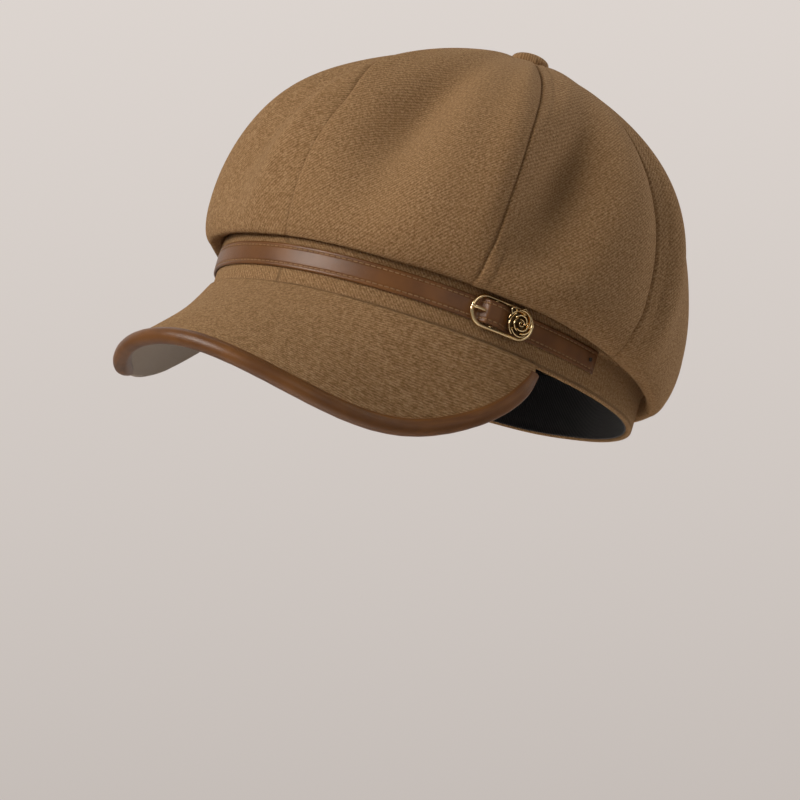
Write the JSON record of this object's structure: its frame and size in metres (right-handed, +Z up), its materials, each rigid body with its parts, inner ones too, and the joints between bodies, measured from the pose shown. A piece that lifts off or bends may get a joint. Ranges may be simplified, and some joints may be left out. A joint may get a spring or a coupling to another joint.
{
  "type": "newsboy cap",
  "caption": "Full newsboy cap with a panelled wool crown, a covered button, a drooping bound visor and a thin leather strap with a small buckle and rose.",
  "frame": {"origin": "middle of the head opening, level with the lower edge of the band", "axes": "-Y is the front, where the visor points; +X is the wearer's left, where the buckle is; +Z is up"},
  "size_m": [0.1954, 0.26, 0.1885],
  "materials": {
    "wool": "brushed wool twill, matt, a soft nap",
    "lining": "black satin, soft sheen",
    "metal": "plain stamped steel",
    "board": "matt moulded sheet",
    "stiffener": "stiff woven interlining",
    "undercloth": "smooth brushed cloth, matt",
    "leather": "smooth brown leather, satin gloss",
    "thread": "dark sewing thread",
    "gold": "polished pale gold plating"
  },
  "bodies": {
    "cap": {"crown_panel_1": "wool", "crown_panel_2": "wool", "crown_panel_3": "wool", "crown_panel_4": "wool", "crown_panel_5": "wool", "crown_panel_6": "wool", "crown_panel_7": "wool", "crown_panel_8": "wool", "lining_panel_1": "lining", "lining_panel_2": "lining", "lining_panel_3": "lining", "lining_panel_4": "lining", "lining_panel_5": "lining", "lining_panel_6": "lining", "lining_panel_7": "lining", "lining_panel_8": "lining", "button_cover": "wool", "button_shell": "metal", "button_base": "metal", "button_shank": "metal", "button_back": "lining", "band_outer": "wool", "band_stiffener": "stiffener", "sweatband": "lining", "visor_board": "board", "visor_top_cover": "wool", "visor_under_cover": "undercloth", "visor_binding": "leather", "strap": "leather", "strap_tacks": "thread", "buckle_anchor": "leather"},
    "buckle": {"buckle_frame": "gold", "rose_ornament": "gold"},
    "prong": {"buckle_prong": "gold"}
  },
  "joints": [
    {"name": "buckle_rock", "type": "hinge", "parent": "cap", "child": "buckle", "pos_m": [0.07088, -0.05723, 0.0122], "axis": [0, 0, 1], "range_deg": [-4, 3]},
    {"name": "prong_lift", "type": "hinge", "parent": "buckle", "child": "prong", "pos_m": [0.07088, -0.05723, 0.0122], "axis": [0, 0, 1], "range_deg": [0, 25]}
  ]
}
